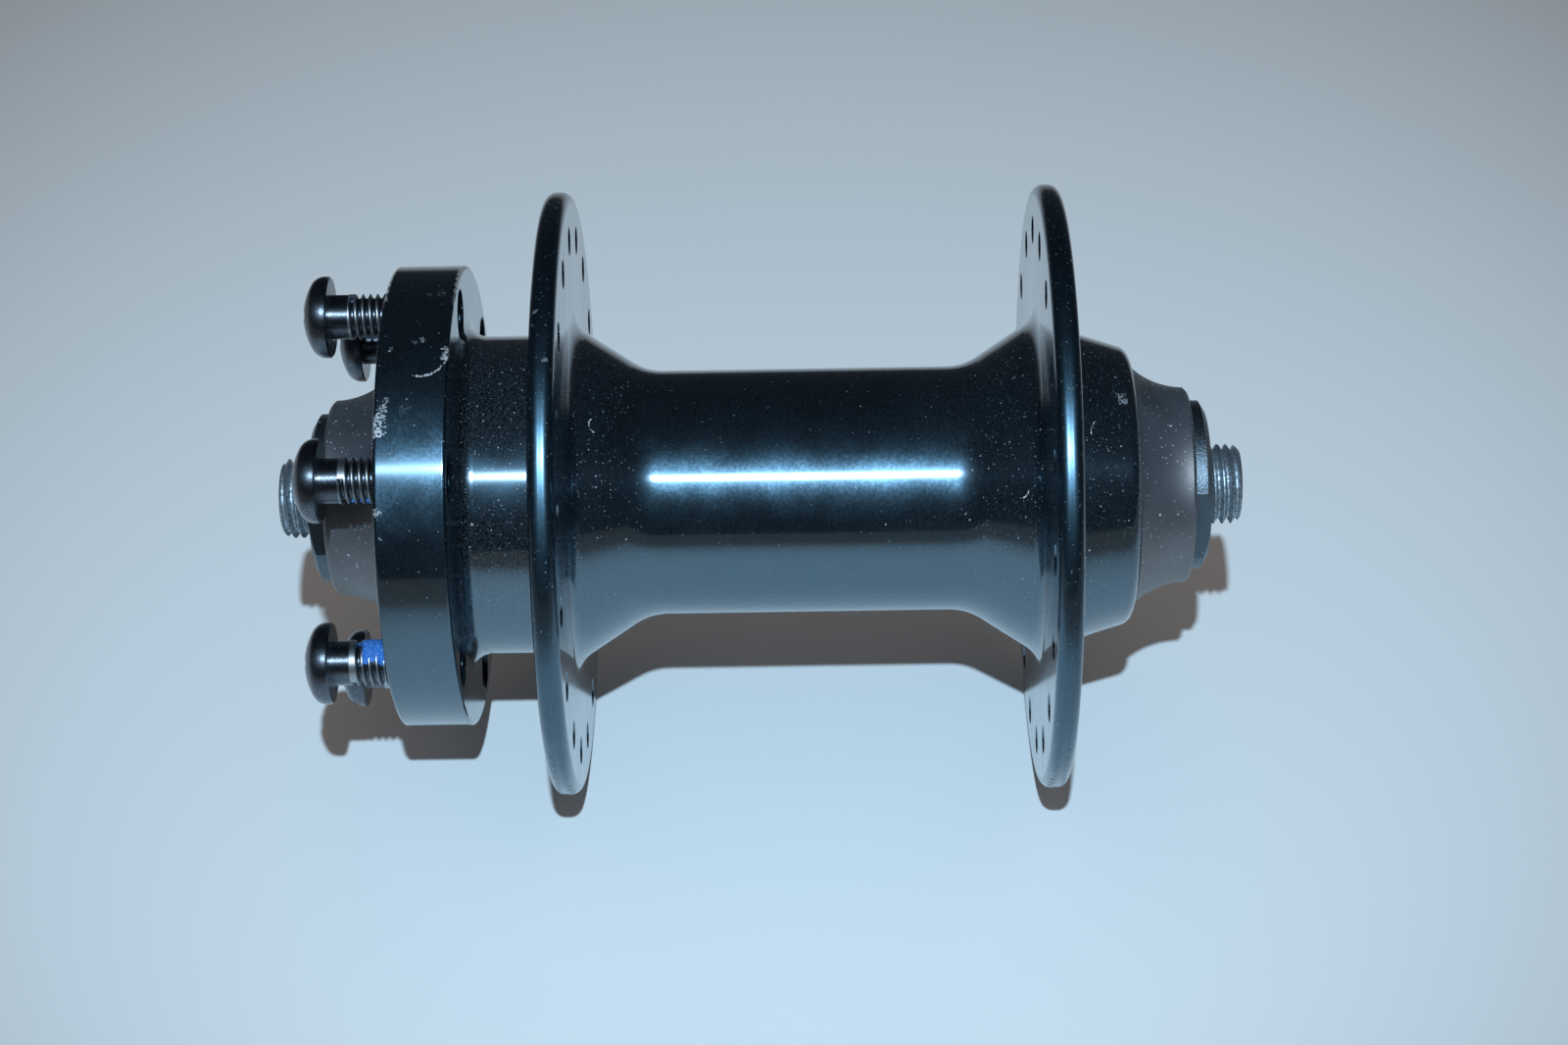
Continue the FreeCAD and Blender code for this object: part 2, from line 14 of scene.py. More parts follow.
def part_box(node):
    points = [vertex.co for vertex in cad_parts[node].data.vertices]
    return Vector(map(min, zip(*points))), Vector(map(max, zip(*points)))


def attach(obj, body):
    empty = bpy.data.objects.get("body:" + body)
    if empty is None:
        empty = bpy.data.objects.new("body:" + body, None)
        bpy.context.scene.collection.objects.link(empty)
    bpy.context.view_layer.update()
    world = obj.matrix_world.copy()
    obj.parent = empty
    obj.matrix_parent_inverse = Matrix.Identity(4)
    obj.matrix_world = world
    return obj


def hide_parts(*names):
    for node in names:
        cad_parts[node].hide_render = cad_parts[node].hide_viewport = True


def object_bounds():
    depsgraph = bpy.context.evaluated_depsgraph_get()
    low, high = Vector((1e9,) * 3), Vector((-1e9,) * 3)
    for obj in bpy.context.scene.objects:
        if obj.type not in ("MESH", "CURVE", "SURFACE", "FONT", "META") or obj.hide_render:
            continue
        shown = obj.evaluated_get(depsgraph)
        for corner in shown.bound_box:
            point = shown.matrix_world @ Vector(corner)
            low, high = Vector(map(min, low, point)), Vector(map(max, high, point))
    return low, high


bl_info = {
    "name": "Bicycle Front Hub",
    "version": (1, 0, 0),
    "blender": (4, 5, 0),
    "location": "3D View > Sidebar > Front Hub",
    "description": "Dresses the packed front hub with finishes, boots, thread locker and a plain studio",
    "category": "Object",
}

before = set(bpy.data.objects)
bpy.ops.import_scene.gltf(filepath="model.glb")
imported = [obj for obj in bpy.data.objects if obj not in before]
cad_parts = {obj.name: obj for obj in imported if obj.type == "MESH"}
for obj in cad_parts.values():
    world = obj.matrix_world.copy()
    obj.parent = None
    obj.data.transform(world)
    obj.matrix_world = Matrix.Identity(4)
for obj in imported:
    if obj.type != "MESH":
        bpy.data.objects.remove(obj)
CAD_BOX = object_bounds()

MM = 0.001
SIDES = ("left", "right")
HUB_LINE = Vector((0, 1, 0))

# Stretches of the shell along the axle, from and to in mm, with dust and haze of their own. The wiped one
# reaches over the barrel on to the right flare, the body lies between the left flange and the rotor mount,
# and the joint is the one with the right boot.
BARREL = (-15.0, 15.0)
WIPED = (-22.0, 12.0)
BODY = (24.8, 32.3)
MOUNT_BAND = (33.0, 41.0)
BOOT_JOINT = (-41.8, -41.4)

# Rims of the flanges, from and to as a distance from the axle in mm
FLANGE_RIMS = (33.0, 35.0)

# Distances in mm from the middle line of a rotor bolt: where the wear of its thread begins, where it is
# full, and just outside the shank, then the plain neck under the head, which isn't worn, and its leeway
WEAR_START = 2.2
WEAR_FULL = 2.45
SHANK_OUTSIDE = 2.6
BOLT_NECK = 2.45
NECK_LEEWAY = 0.01

# Lie of the highlights on a rotor bolt: along it, and a little askew so that its flat faces have one too
BOLT_GRAIN = (0.03, 1, 0.02)

# Steps of the boots: along their outside, along their inside and around
FLARE_STEPS = 14
LINING_STEPS = 8
TURN_STEPS = 128

# Patch of thread locker: its steps around and along the bolt, then the height of its waves and the width of
# its thin edge, as shares of its size
PATCH_STEPS = (24, 18)
COARSE_WAVE = 0.05
FINE_WAVE = 0.025
EDGE_SHARE = 1 / 9

# Corners nearer than this are one, and edges sharper than this stay sharp
MERGE_DISTANCE = 0.0001 * MM
SHARP_EDGE = math.radians(35)

# Width in mm of the sensor that the focal length is given for, and how near the camera sees
SENSOR_WIDTH = 36
NEAREST_VIEW = 10 * MM

# Thread locker on each rotor bolt: clock angle where it begins, then distance in mm from the top of its head
LOCKERS = {1: (-201, 5.9), 2: (100, 8.65), 3: (140, 6.05), 4: (60, 6.05), 5: (140, 6.05), 6: (32, 6.05)}

# Knocks and smears where the anodising is gone, and painted glints: station mm, clock degrees, distance from
# the axle mm, reach mm, strength
KNOCKS_AND_GLINTS = (
    (32.75, 72.0, 26.0, 0.75, 1.0),
    (33.0, 69.8, 26.0, 0.45, 1.0),
    (38.9, 58.2, 26.0, 0.45, 0.7),
    (39.3, 56.0, 26.0, 0.65, 0.9),
    (39.7, 53.4, 26.0, 0.95, 1.0),
    (39.8, 51.0, 26.0, 1.05, 1.0),
    (39.9, 31.4, 26.0, 0.65, 0.9),
    (39.6, 25.3, 26.0, 0.25, 1.0),
    (38.8, 72.3, 26.0, 0.3, 0.8),
    (36.3, 74.6, 26.0, 0.35, 0.4),
    (35.5, 75.3, 26.0, 0.45, 0.5),
    (36.9, 55.8, 26.0, 0.8, 0.25),
    (35.4, 93.0, 26.0, 0.6, 0.2),
    (34.0, 93.0, 26.0, 0.7, 0.25),
    # Pale spots on the rim of the left flange: painted glints, partly knocked metal and partly painted
    # highlights
    (22.7, 69.4, 33.9, 0.35, 0.6),
    (22.8, 66.5, 33.8, 0.3, 0.5),
    (21.5, 59.4, 34.0, 0.4, 0.6),
    (-39.3, 72.7, 16.1, 0.45, 0.7),
    (-40.0, 73.2, 15.9, 0.45, 0.6),
    (-39.5, 69.8, 16.1, 0.4, 0.6),
    (-40.1, 70.3, 15.9, 0.5, 0.7),
)

# Curved scratches and hairs: station, clock and distance from the axle of the centre of the curve, its
# radius and half width in mm, then station, clock and reach of the part that shows
SCRATCHES = (
    (35.6, 71.0, 26.0, 2.9, 0.17, 33.9, 65.9, 2.4),
    (-28.1, 34.4, 17.5, 1.0, 0.07, -28.9, 32.2, 0.8),
    (-37.9, 55.0, 16.9, 1.9, 0.07, -36.6, 56.4, 0.9),
    (17.2, 61.0, 17.3, 1.0, 0.08, 18.1, 60.5, 0.9),
)


def hex_colour(text):
    """Linear colour from an sRGB hex value such as #8090A0."""
    channels = [int(text[i:i + 2], 16) / 255 for i in (1, 3, 5)]
    return [c / 12.92 if c <= 0.04045 else ((c + 0.055) / 1.055) ** 2.4 for c in channels] + [1]


def colour_property(name, description, text):
    """Colour that a user may change, with its default as an sRGB hex value."""
    return bpy.props.FloatVectorProperty(
        name=name, description=description, default=hex_colour(text), size=4, subtype="COLOR", min=0, max=1)


def length_property(name, description, millimetres):
    """Length that a user may change, with its default in millimetres."""
    return bpy.props.FloatProperty(
        name=name, description=description, default=millimetres * MM, unit="LENGTH", precision=5)


def angle_property(name, description, degrees):
    """Angle that a user may change, with its default in degrees."""
    return bpy.props.FloatProperty(
        name=name, description=description, default=math.radians(degrees), unit="ROTATION")


class HubCamera(bpy.types.PropertyGroup):
    """Where the photograph was taken from."""
    distance: length_property("Distance", "From the lens to the middle line of the axle", 341)
    elevation: angle_property("Elevation", "How steeply the camera looks down", 35.3)
    offset: length_property("Offset", "How far the lens is to the right of the middle of the axle", 5.8)
    aim_side: length_property("Aim to the side", "How far right of the middle the image centre lies", 2.6)
    aim_down: length_property("Aim below", "How far below the axle the image centre lies", 3.6)
    roll: angle_property("Roll", "Turn of the camera about its view line", 0.89)
    lens: bpy.props.FloatProperty(
        name="Lens", description="Focal length in mm on a 36 mm sensor", default=69.1)


class HubStudio(bpy.types.PropertyGroup):
    """Table and light."""
    table: colour_property("Table", "Almost white, with a trace of blue", "#D8E6EB")
    table_size: length_property("Table size", "Side of the square table top", 900)
    lamp: colour_property("Lamp", "Cold white", "#D6ECFF")
    lamp_distance: length_property("Lamp distance", "From the lamp to the hub", 500)
    lamp_elevation: angle_property("Lamp elevation", "How steeply the lamp shines down", 48.2)
    lamp_radius: length_property("Lamp radius", "Half the width of the lamp", 5)
    lamp_power: bpy.props.FloatProperty(
        name="Lamp power", description="Strength of the lamp", default=11.9, unit="POWER")
    lamp_cone: angle_property("Lamp cone", "Full angle of the soft cone of light", 41)
    lamp_aim: length_property("Lamp aim", "How far behind the hub the lamp points", 55)
    fill: bpy.props.FloatProperty(
        name="Fill", description="Strength of the warm light that softens the shadows", default=0.23)
    fill_colour: colour_property("Fill colour", "Warm white", "#FFE9E0")
    room: bpy.props.FloatProperty(
        name="Room", description="Brightness of the room in glossy metal, where 1 is white", default=0.036)
    room_colour: colour_property("Room colour", "Dim blue", "#CFE4FF")
    backdrop: colour_property("Backdrop", "What the camera sees beyond the table", "#AFC4D0")


class HubFinish(bpy.types.PropertyGroup):
    """Colours of the finishes."""
    anodised: colour_property("Anodised shell", "Reflected tint of the black anodised aluminium", "#5B6E7A")
    smears: colour_property("Smears", "Bluer tint where the shell is hazed by handling", "#4D6C7E")
    rim: colour_property("Flange rims", "Reflected tint of the blacker rims of the flanges", "#43525C")
    dust: colour_property("Dust", "Lint and dust that lie on the hub", "#A6B1B8")
    # This colour also paints the glints on the rim of the left flange
    bare_metal_and_glints: colour_property("Bare metal", "Aluminium where the anodising is scratched off", "#DCE6EC")
    zinc: colour_property("Zinc", "Dulled zinc plating of the axle and washers", "#B4C4CE")
    grime: colour_property("Grime", "Dark film in the hollows of the plating", "#33393B")
    black_steel: colour_property("Blackened steel", "Locknuts", "#606E78")
    bolt_steel: colour_property("Bolt steel", "Black oxide of the rotor bolts", "#59626C")
    worn_steel: colour_property("Worn steel", "Steel where the black oxide is rubbed thin", "#BCC4C9")
    bearing: colour_property("Bearing steel", "Ground cups, cones and balls", "#B9BCC0")
    grease: colour_property("Grease", "Film on the bearings", "#8A8672")
    nickel: colour_property("Nickel", "Plating of the pressed dust caps", "#9A9B9A")
    rubber: colour_property("Rubber", "Boots and seals", "#222B32")
    bloom: colour_property("Bloom", "Pale film that rises in old rubber", "#46545E")
    thread_lock: colour_property("Thread locker", "Dried patch on the bolt threads", "#1F63B8")
    thread_lock_skin: colour_property("Thread locker skin", "Paler crust of the patch", "#6FA6E0")


class HubBoot(bpy.types.PropertyGroup):
    """Shape of the rubber boots."""
    wall: length_property("Wall", "Thickness of the rubber", 1.4)
    sag: length_property("Sag", "How far the flare curves in from a straight cone", 0.6)
    lip: length_property("Lip", "How much nearer to the shell the lip comes than the plain solid", 0.22)
    mouth_edge: length_property("Mouth edge", "Bevel of the wide end", 0.15)
    shoulder: length_property("Shoulder", "Bevel of the narrow end", 0.35)
    tip_wall: length_property("Tip wall", "Rubber around the collar of the locknut", 0.8)
    grip: length_property("Grip", "How far the tip reaches in over the collar", 0.25)
    groove: length_property("Groove", "Width of the groove that holds the collar", 2.0)


class HubThreadLock(bpy.types.PropertyGroup):
    """Dried thread locker on the rotor bolts."""
    inner: length_property("Inner radius", "Depth to which the patch fills the thread", 2.02)
    outer: length_property("Outer radius", "Height of the patch, just over the thread crests", 2.56)
    length: length_property("Length", "Along the bolt", 4.3)
    arc: angle_property("Arc", "How far round the bolt the patch reaches", 150)
    lump: length_property("Lumps", "Unevenness of its skin", 0.05)
    thin_edge: length_property("Thin edge", "How much thinner the patch is along its edge", 0.3)


def add_node(tree, kind, values, output=0):
    """Adds a node and gives one of its outputs. Each value sets a property or an input, or links to it."""
    node = tree.nodes.new(kind)
    for name, value in values.items():
        if isinstance(name, str) and hasattr(node, name):
            setattr(node, name, value)
        elif isinstance(value, bpy.types.NodeSocket):
            tree.links.new(value, node.inputs[name])
        else:
            node.inputs[name].default_value = value
    return node.outputs[output] if node.outputs else None


def on_hub(station, clock, radius):
    """Point at a station and radius in mm and a clock angle in degrees."""
    angle = math.radians(clock)
    return Vector((-math.cos(angle) * radius, station, math.sin(angle) * radius)) * MM


class Finish:
    """Material under work: its tree, the place on the piece that patterns read, and its shader's values."""

    def __init__(self, name, colour, metallic, roughness, more=None):
        self.material = bpy.data.materials.new(name)
        self.material.use_nodes = True
        self.tree = self.material.node_tree
        self.tree.nodes.clear()
        self.place = add_node(self.tree, "ShaderNodeTexCoord", {}, "Object")
        self.values = {"Base Color": colour, "Metallic": metallic, "Roughness": roughness, **(more or {})}
        self.layers = []
        self.bump = None

    def patches(self, size, low, high, weakest=0.0, strongest=1.0, stretch=(1, 1, 1)):
        """Cloudy patches of about this size in mm, from weakest where the noise is low to strongest."""
        scale = [1 / (size * MM * s) for s in stretch]
        place = add_node(self.tree, "ShaderNodeMapping", {"Vector": self.place, "Scale": scale})
        noise = add_node(self.tree, "ShaderNodeTexNoise", {"Vector": place, "Scale": 1.0, "Detail": 3.0})
        return add_node(self.tree, "ShaderNodeMapRange", {
            "interpolation_type": "SMOOTHSTEP", "Value": noise, "From Min": low, "From Max": high,
            "To Min": weakest, "To Max": strongest})

    def station(self):
        """Place along the axle."""
        return add_node(self.tree, "ShaderNodeSeparateXYZ", {"Vector": self.place}, "Y")

    def radius(self):
        """Distance from the middle line of the axle."""
        flat = add_node(self.tree, "ShaderNodeVectorMath", {
            "operation": "MULTIPLY", 0: self.place, 1: (1, 0, 1)})
        return add_node(self.tree, "ShaderNodeVectorMath", {"operation": "LENGTH", 0: flat}, "Value")

    def turning_marks(self, pitch):
        """Rings around the axle left by the lathe tool, with uneven depth. Real ones are about 0.1 mm apart
        and too fine to show, so the pitch in mm is coarser."""
        path = add_node(self.tree, "ShaderNodeMath", {
            "operation": "ADD", 0: self.radius(), 1: self.station()})
        return add_node(self.tree, "ShaderNodeTexNoise", {
            "noise_dimensions": "1D", "W": path, "Scale": 1 / (pitch * MM), "Detail": 3.0,
            "Roughness": 0.65})

    def specks(self, spacing, size, share, strength):
        """Scattered specks, one at most in each cell of the spacing in mm and kept by share. Their radii run
        from a third of the size in mm to four thirds of it."""
        cells = add_node(self.tree, "ShaderNodeTexVoronoi", {
            "Vector": self.place, "Scale": 1 / (spacing * MM)})
        chance = add_node(self.tree, "ShaderNodeSeparateColor", {"Color": cells.node.outputs["Color"]})
        green = chance.node.outputs["Green"]
        reach = add_node(self.tree, "ShaderNodeMath", {
            "operation": "MULTIPLY_ADD", 0: green, 1: size / spacing, 2: size / spacing / 3})
        dot = add_node(self.tree, "ShaderNodeMath", {"operation": "LESS_THAN", 0: cells, 1: reach})
        kept = add_node(self.tree, "ShaderNodeMath", {"operation": "LESS_THAN", 0: chance, 1: share})
        both = add_node(self.tree, "ShaderNodeMath", {"operation": "MULTIPLY", 0: dot, 1: kept})
        return add_node(self.tree, "ShaderNodeMath", {"operation": "MULTIPLY", 0: both, 1: strength})

    def zone(self, low, high, inside, outside, soft=0.5, measure=None):
        """Value that holds between two stations in mm, or between two values of another measure, and fades
        to a second value just outside them."""
        offset = add_node(self.tree, "ShaderNodeMath", {
            "operation": "SUBTRACT", 0: measure or self.station(), 1: (low + high) / 2 * MM})
        away = add_node(self.tree, "ShaderNodeMath", {"operation": "ABSOLUTE", 0: offset})
        edge = (high - low) / 2
        return add_node(self.tree, "ShaderNodeMapRange", {
            "interpolation_type": "SMOOTHSTEP", "Value": away, "From Min": edge * MM,
            "From Max": (edge + soft) * MM, "To Min": inside, "To Max": outside})

    def ring(self, centre, radius, ragged, reach):
        """Ring about a point, or a spot where the radius is 0, with its edge broken up by ragged noise."""
        distance = add_node(self.tree, "ShaderNodeVectorMath", {
            "operation": "DISTANCE", 0: self.place, 1: centre}, "Value")
        width = add_node(self.tree, "ShaderNodeMath", {"operation": "MULTIPLY", 0: ragged, 1: reach * MM})
        return add_node(self.tree, "ShaderNodeMath", {
            "operation": "COMPARE", 0: distance, 1: radius * MM, 2: width})

    def done(self, haze=None, hazed=None):
        """Makes the shader from the values, the layers and the bump, and returns the material.

        A layer is a mask with the values that it lays over the finish where it is 1, and the bump is a
        pattern with its height in mm. Haze is the share of the surface that has the hazed values. The Mix
        node has other sockets for a colour than for a number, so they are named by their places."""
        for mask, over in self.layers:
            for name, value in over.items():
                kind, first, result = ("RGBA", 6, 2) if name == "Base Color" else ("FLOAT", 2, 0)
                self.values[name] = add_node(self.tree, "ShaderNodeMix", {
                    "data_type": kind, 0: mask, first: self.values[name], first + 1: value}, result)
        if self.bump:
            pattern, height = self.bump
            self.values["Normal"] = add_node(self.tree, "ShaderNodeBump", {
                "Height": pattern, "Distance": height * MM})
        shader = add_node(self.tree, "ShaderNodeBsdfPrincipled", self.values)
        if hazed:
            rough = add_node(self.tree, "ShaderNodeBsdfPrincipled", {**self.values, **hazed})
            shader = add_node(self.tree, "ShaderNodeMixShader", {0: haze, 1: shader, 2: rough})
        add_node(self.tree, "ShaderNodeOutputMaterial", {"Surface": shader})
        return self.material


def knocks_and_glints(finish):
    """Where the anodising is gone: knocked and smeared spots broken up by fine strokes, and the curved
    scratches. The spots on the rim of the left flange are painted glints, partly knocked metal and partly
    painted highlights.
    """
    tree = finish.tree
    ragged = finish.patches(0.3, 0.36, 0.6)
    strokes = finish.patches(0.12, 0.34, 0.52, 0.25, stretch=(1, 4, 1))
    marks = 0.0
    for station, clock, radius, reach, strength in KNOCKS_AND_GLINTS:
        spot = finish.ring(on_hub(station, clock, radius), 0, ragged, reach)
        marks = add_node(tree, "ShaderNodeMath", {
            "operation": "MULTIPLY_ADD", 0: spot, 1: strength, 2: marks})
    marks = add_node(tree, "ShaderNodeMath", {"operation": "MULTIPLY", 0: marks, 1: strokes})
    for station, clock, radius, bend, half_width, middle, middle_clock, reach in SCRATCHES:
        curve = finish.ring(on_hub(station, clock, radius), bend, ragged, half_width)
        part = finish.ring(on_hub(middle, middle_clock, radius), 0, 1.0, reach)
        marks = add_node(tree, "ShaderNodeMath", {"operation": "MULTIPLY_ADD", 0: curve, 1: part, 2: marks})
    return marks


def shell_dust(finish, rims, colours):
    """Layers of dust on the shell: a thin film that the rims don't have, lint in three sizes, and a broken
    line along the joint with the right boot."""
    tree = finish.tree
    grain = finish.patches(0.16, 0.45, 0.62, 0.0, 0.14)
    dusty = finish.zone(*BARREL, 0.3, finish.zone(*MOUNT_BAND, 0.2, 0.5, 0.4), 3.0)
    dusty = finish.zone(*BODY, 1.0, dusty)
    dusty = add_node(tree, "ShaderNodeMath", {"operation": "SUBTRACT", 0: dusty, 1: rims, "use_clamp": True})
    film = add_node(tree, "ShaderNodeMath", {"operation": "MULTIPLY", 0: grain, 1: dusty})
    share = finish.zone(*WIPED, 0.1, finish.zone(*MOUNT_BAND, 0.12, 0.65, 0.4), 3.0)
    joint = finish.zone(*BOOT_JOINT, 1.0, 0.0, 0.1)
    broken = finish.patches(0.2, 0.45, 0.6)
    line = add_node(tree, "ShaderNodeMath", {"operation": "MULTIPLY", 0: joint, 1: broken})
    lint = {"Base Color": colours.dust, "Metallic": 0.0, "Roughness": 0.8}
    return [
        (film, {"Base Color": colours.dust, "Metallic": 0.0}),
        (finish.specks(0.38, 0.055, share, 0.55), lint),
        (finish.specks(0.8, 0.08, share, 0.7), lint),
        (finish.specks(2.2, 0.13, share, 0.8), lint),
        (line, lint),
    ]


def anodised_aluminium(colours):
    """Black anodised aluminium, turned: a dark bluish mirror under a clear hard skin, whose highlight the
    lathe rings draw out along the axle. The rims of the flanges are blacker and duller. Hairline scratches,
    smears and dust lie over it, and the metal beneath shines where it has been knocked. A few pale spots on
    the rim of the left flange are painted glints, partly knocked metal and partly painted highlights."""
    finish = Finish("black_anodised_aluminium", colours.anodised, 1.0, 0.144, {
        "Anisotropic": 0.85, "Anisotropic Rotation": 0.25, "Coat Weight": 0.55, "Coat Roughness": 0.05})
    tree = finish.tree
    around = add_node(tree, "ShaderNodeVectorMath", {
        "operation": "CROSS_PRODUCT", 0: finish.place, 1: HUB_LINE})
    finish.values["Tangent"] = add_node(tree, "ShaderNodeVectorTransform", {
        "vector_type": "VECTOR", "convert_from": "OBJECT", "convert_to": "WORLD", "Vector": around})
    finish.bump = (finish.turning_marks(0.35), 0.0008)
    hairlines = finish.patches(0.09, 0.66, 0.72, 0.0, 0.1, (1, 30, 1))
    rims = finish.zone(*FLANGE_RIMS, 1.0, 0.0, 0.3, finish.radius())
    finish.layers = [
        (rims, {"Base Color": colours.rim, "Roughness": 0.18, "Anisotropic": 0.4}),
        (hairlines, {"Base Color": colours.bare_metal_and_glints, "Roughness": 0.3}),
        *shell_dust(finish, rims, colours),
        # Knocked metal, with painted glints on the rim of the left flange
        (knocks_and_glints(finish), {"Base Color": colours.bare_metal_and_glints, "Metallic": 0.4, "Roughness": 0.5}),
    ]
    wiping = finish.patches(4.0, 0.35, 0.7, 0.2, 0.4)
    mottle = finish.zone(*BODY, 0.4, finish.patches(0.35, 0.35, 0.65, 0.75, 1.25))
    smears = add_node(tree, "ShaderNodeMath", {"operation": "MULTIPLY", 0: wiping, 1: mottle})
    smears = add_node(tree, "ShaderNodeMath", {"operation": "MULTIPLY_ADD", 0: rims, 1: 0.35, 2: smears})
    return finish.done(smears, {"Base Color": colours.smears, "Roughness": 0.34, "Anisotropic": 0.2})


def zinc_plated_steel(colours):
    """Rolled steel thread, zinc plated and handled: pale dull grey with darker grime in the hollows."""
    finish = Finish("zinc_plated_steel", colours.zinc, 1.0, 0.48)
    hollows = finish.patches(0.4, 0.42, 0.62, 0.0, 0.65)
    finish.layers = [(hollows, {"Base Color": colours.grime, "Metallic": 0.7, "Roughness": 0.6})]
    finish.bump = (finish.patches(0.15, 0.3, 0.7), 0.012)
    return finish.done()


def blackened_steel(colours):
    """Turned and milled steel, chemically blackened: dark, with a broad grainy blue-grey sheen and dust."""
    finish = Finish("blackened_steel", colours.black_steel, 1.0, 0.44)
    lint = {"Base Color": colours.dust, "Metallic": 0.0, "Roughness": 0.8}
    finish.layers = [
        (finish.patches(0.3, 0.35, 0.65), {"Roughness": 0.38}),
        (finish.specks(0.6, 0.09, 0.55, 0.6), lint),
    ]
    finish.bump = (finish.patches(0.18, 0.3, 0.7), 0.02)
    return finish.done()


def black_oxide_steel(colours):
    """Cold-headed and rolled bolt steel with oiled black oxide: black, with pale glints drawn out along each
    bolt and thread crests that are rubbed paler. Wear follows the distance from the nearest bolt's middle
    line, which starts out as longer than any."""
    finish = Finish("black_oxide_steel", colours.bolt_steel, 1.0, 0.356, {
        "Anisotropic": 0.67, "Coat Weight": 0.4, "Coat Roughness": 0.16})
    tree = finish.tree
    flat = add_node(tree, "ShaderNodeVectorMath", {"operation": "MULTIPLY", 0: finish.place, 1: (1, 0, 1)})
    nearest = CAD_BOX[1].y
    for number in LOCKERS:
        low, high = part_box("rotor_bolt_%d" % number)
        centre = ((low.x + high.x) / 2, 0, (low.z + high.z) / 2)
        away = add_node(tree, "ShaderNodeVectorMath", {"operation": "DISTANCE", 0: flat, 1: centre}, "Value")
        nearest = add_node(tree, "ShaderNodeMath", {"operation": "MINIMUM", 0: nearest, 1: away})
    height = add_node(tree, "ShaderNodeMapRange", {
        "Value": nearest, "From Min": WEAR_START * MM, "From Max": WEAR_FULL * MM,
        "To Min": 0.0, "To Max": 0.75})
    shank = add_node(tree, "ShaderNodeMath", {"operation": "LESS_THAN", 0: nearest, 1: SHANK_OUTSIDE * MM})
    neck = add_node(tree, "ShaderNodeMath", {
        "operation": "COMPARE", 0: nearest, 1: BOLT_NECK * MM, 2: NECK_LEEWAY * MM})
    thread = add_node(tree, "ShaderNodeMath", {
        "operation": "SUBTRACT", 0: shank, 1: neck, "use_clamp": True})
    crests = add_node(tree, "ShaderNodeMath", {"operation": "MULTIPLY", 0: height, 1: thread})
    finish.values["Tangent"] = add_node(tree, "ShaderNodeVectorTransform", {
        "vector_type": "VECTOR", "convert_from": "OBJECT", "convert_to": "WORLD", "Vector": BOLT_GRAIN})
    finish.layers = [
        (crests, {"Base Color": colours.worn_steel, "Roughness": 0.46, "Anisotropic": 0.3}),
        (finish.patches(0.25, 0.58, 0.68, 0.0, 0.3), {"Base Color": colours.worn_steel, "Roughness": 0.4}),
    ]
    finish.bump = (finish.patches(0.25, 0.3, 0.7), 0.002)
    return finish.done()


def ground_bearing_steel(colours):
    """Hardened bearing steel, ground: bright mirror with a film of grease that yellows it slightly."""
    finish = Finish("ground_bearing_steel", colours.bearing, 1.0, 0.16)
    film = finish.patches(1.6, 0.45, 0.6, 0.0, 0.35)
    finish.layers = [(film, {"Base Color": colours.grease, "Roughness": 0.3})]
    finish.bump = (finish.turning_marks(0.2), 0.0008)
    return finish.done()


def nickel_plated_steel(colours):
    """Pressed sheet steel, nickel plated: warm grey, a little wavy from the press."""
    finish = Finish("nickel_plated_steel", colours.nickel, 1.0, 0.24)
    finish.layers = [(finish.patches(1.2, 0.3, 0.7), {"Roughness": 0.42})]
    finish.bump = (finish.patches(2.5, 0.3, 0.7), 0.01)
    return finish.done()


def moulded_rubber(colours):
    """Moulded synthetic rubber: charcoal with a silky sheen, a trace of bloom in its skin and dust on it."""
    finish = Finish("moulded_rubber", colours.rubber, 0.0, 0.44, {"Specular IOR Level": 1.0, "IOR": 1.8})
    lint = {"Base Color": colours.dust, "Roughness": 0.85}
    finish.layers = [
        (finish.patches(5.0, 0.35, 0.7, 0.1, 0.35), {"Base Color": colours.bloom}),
        (finish.specks(0.45, 0.07, 0.6, 0.6), lint),
        (finish.specks(1.1, 0.11, 0.5, 0.7), lint),
        (finish.specks(2.4, 0.16, 0.6, 0.85), lint),
    ]
    finish.bump = (finish.patches(0.14, 0.3, 0.7), 0.004)
    return finish.done()


def dried_thread_lock(colours):
    """Dried micro-capsule thread locker: chalky blue crust that fills the thread under it."""
    finish = Finish("dried_thread_lock", colours.thread_lock, 0.0, 0.7, {"Specular IOR Level": 0.3})
    crust = finish.patches(0.22, 0.42, 0.7, 0.0, 0.5)
    finish.layers = [(crust, {"Base Color": colours.thread_lock_skin})]
    finish.bump = (finish.patches(0.2, 0.3, 0.7), 0.04)
    return finish.done()


def painted_table(studio):
    """Table top, painted: almost white, soft and flat, so that it only carries light and shadow."""
    return Finish("painted_table", studio.table, 0.0, 0.75, {"Specular IOR Level": 0.1}).done()


def dress(nodes, material):
    """Gives CAD nodes one material on every face."""
    for name in nodes:
        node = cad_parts[name]
        node.data.materials.clear()
        node.data.materials.append(material)
        for polygon in node.data.polygons:
            polygon.material_index = 0


def finished_piece(name, mesh, material, body):
    """Object from a bmesh, with its faces turned outwards and shaded smooth, that rides on a body."""
    bmesh.ops.remove_doubles(mesh, verts=mesh.verts, dist=MERGE_DISTANCE)
    bmesh.ops.recalc_face_normals(mesh, faces=mesh.faces)
    data = bpy.data.meshes.new(name)
    mesh.to_mesh(data)
    mesh.free()
    data.materials.append(material)
    data.shade_smooth()
    data.set_sharp_from_angle(angle=SHARP_EDGE)
    piece = bpy.data.objects.new(name, data)
    bpy.context.scene.collection.objects.link(piece)
    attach(piece, body)
    return piece


